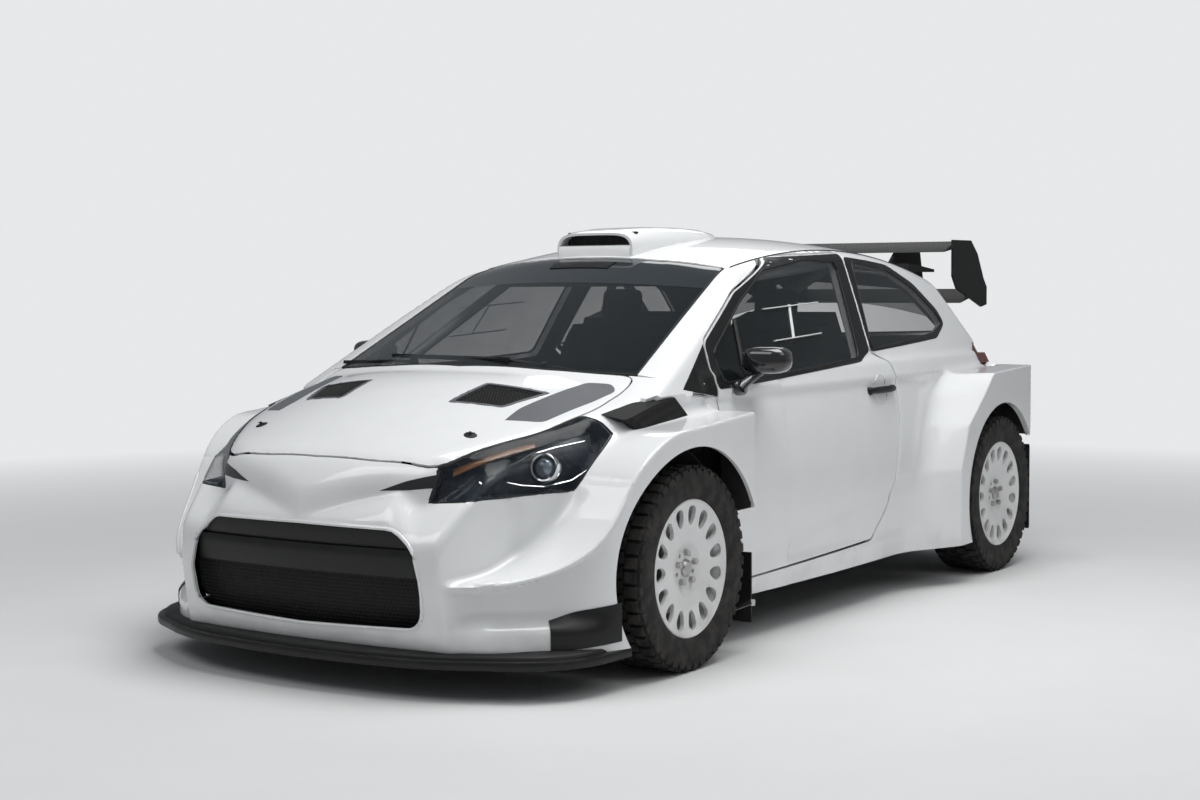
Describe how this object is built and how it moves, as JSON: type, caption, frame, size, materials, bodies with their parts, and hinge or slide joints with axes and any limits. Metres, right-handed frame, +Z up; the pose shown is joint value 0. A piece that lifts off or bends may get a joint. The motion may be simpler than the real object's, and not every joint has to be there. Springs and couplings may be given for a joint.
{
  "type": "rally car",
  "caption": "Wide-bodied rally hatchback with opening doors, bonnet and tailgate, steered front wheels, a roof scoop and a rear wing.",
  "frame": {"origin": "on the ground under the middle of the overall length, on the centre plane", "axes": "+X to the car's left side, -Y to the nose, +Z up"},
  "size_m": [1.908, 4.085, 1.432],
  "materials": {
    "body_paint": "gloss",
    "clear_glass": "gloss",
    "lamp_cover": "gloss",
    "lamp_body": "gloss",
    "tail_lamp": "gloss",
    "black_plastic": "satin",
    "gloss_black": "gloss",
    "carbon": "gloss",
    "cage_paint": "gloss",
    "seat_shell": "satin",
    "soft_grip": "matte",
    "underbody": "satin",
    "upright": "satin",
    "engine": "satin",
    "tyre": "matte",
    "rim_paint": "gloss",
    "disc": "satin"
  },
  "bodies": {
    "chassis": {"body_side_left": "body_paint", "body_side_right": "body_paint", "dashboard": "black_plastic", "engine_block": "engine", "fender_ducts": "black_plastic", "floor_pan": "underbody", "front_bumper": "body_paint", "front_fender_left": "body_paint", "front_fender_right": "body_paint", "front_frame": "underbody", "front_splitter": "black_plastic", "front_suspension": "underbody", "grille": "black_plastic", "half_shafts": "underbody", "headlamp_covers": "lamp_cover", "headlamps": "lamp_body", "mud_flaps": "black_plastic", "quarter_windows": "clear_glass", "radiator": "engine", "rear_bumper": "body_paint", "rear_diffuser": "black_plastic", "rear_suspension": "underbody", "rear_uprights": "upright", "roll_cage": "cage_paint", "roof_panel": "body_paint", "roof_scoop": "body_paint", "seats": "seat_shell", "tail_lamps": "tail_lamp", "wheel_housings": "black_plastic", "windshield": "clear_glass"},
    "door_left": {"door_left": "body_paint", "door_glass_left": "clear_glass", "mirror_left": "gloss_black", "door_handle_left": "gloss_black"},
    "door_right": {"door_right": "body_paint", "door_glass_right": "clear_glass", "mirror_right": "gloss_black", "door_handle_right": "gloss_black"},
    "bonnet": {"bonnet": "body_paint", "bonnet_vents": "black_plastic"},
    "tailgate": {"tailgate": "body_paint", "rear_window": "clear_glass", "rear_wing": "carbon"},
    "knuckle_front_left": {"knuckle_left": "upright"},
    "knuckle_front_right": {"knuckle_right": "upright"},
    "steering_wheel": {"steering_wheel": "soft_grip"},
    "wheel_front_left": {"tyre_front_left": "tyre", "rim_front_left": "rim_paint", "hub_front_left": "disc"},
    "wheel_front_right": {"tyre_front_right": "tyre", "rim_front_right": "rim_paint", "hub_front_right": "disc"},
    "wheel_rear_left": {"tyre_rear_left": "tyre", "rim_rear_left": "rim_paint", "hub_rear_left": "disc"},
    "wheel_rear_right": {"tyre_rear_right": "tyre", "rim_rear_right": "rim_paint", "hub_rear_right": "disc"}
  },
  "joints": [
    {"name": "door_left_hinge", "type": "hinge", "parent": "chassis", "child": "door_left", "pos_m": [0.83, -0.735, 0.5], "axis": [0, 0, -1], "range_deg": [0, 65]},
    {"name": "door_right_hinge", "type": "hinge", "parent": "chassis", "child": "door_right", "pos_m": [-0.83, -0.735, 0.5], "axis": [0, 0, 1], "range_deg": [0, 65]},
    {"name": "bonnet_hinge", "type": "hinge", "parent": "chassis", "child": "bonnet", "pos_m": [0, -1.04, 0.945], "axis": [-1, 0, 0], "range_deg": [0, 55]},
    {"name": "tailgate_hinge", "type": "hinge", "parent": "chassis", "child": "tailgate", "pos_m": [0, 1.322, 1.302], "axis": [1, 0, 0], "range_deg": [0, 75]},
    {"name": "steer_left", "type": "hinge", "parent": "chassis", "child": "knuckle_front_left", "pos_m": [0.755, -1.1825, 0.19], "axis": [-0.2213, 0, 0.9752], "range_deg": [-28, 28]},
    {"name": "steer_right", "type": "hinge", "parent": "chassis", "child": "knuckle_front_right", "pos_m": [-0.755, -1.1825, 0.19], "axis": [0.2213, 0, 0.9752], "range_deg": [-28, 28]},
    {"name": "steering_wheel_turn", "type": "hinge", "parent": "chassis", "child": "steering_wheel", "pos_m": [0.36, -0.33, 0.8], "axis": [0, 0.9135, 0.4067], "range_deg": [-260, 260]},
    {"name": "wheel_front_left_spin", "type": "hinge", "parent": "knuckle_front_left", "child": "wheel_front_left", "pos_m": [0.8, -1.1825, 0.325], "axis": [1, 0, 0], "continuous": true},
    {"name": "wheel_rear_left_spin", "type": "hinge", "parent": "chassis", "child": "wheel_rear_left", "pos_m": [0.8, 1.3285, 0.325], "axis": [1, 0, 0], "continuous": true},
    {"name": "wheel_front_right_spin", "type": "hinge", "parent": "knuckle_front_right", "child": "wheel_front_right", "pos_m": [-0.8, -1.1825, 0.325], "axis": [1, 0, 0], "continuous": true},
    {"name": "wheel_rear_right_spin", "type": "hinge", "parent": "chassis", "child": "wheel_rear_right", "pos_m": [-0.8, 1.3285, 0.325], "axis": [1, 0, 0], "continuous": true}
  ],
  "couplings": [
    {"joint": "steer_right", "follows": "steer_left", "ratio": 1},
    {"joint": "steering_wheel_turn", "follows": "steer_left", "ratio": 9}
  ]
}
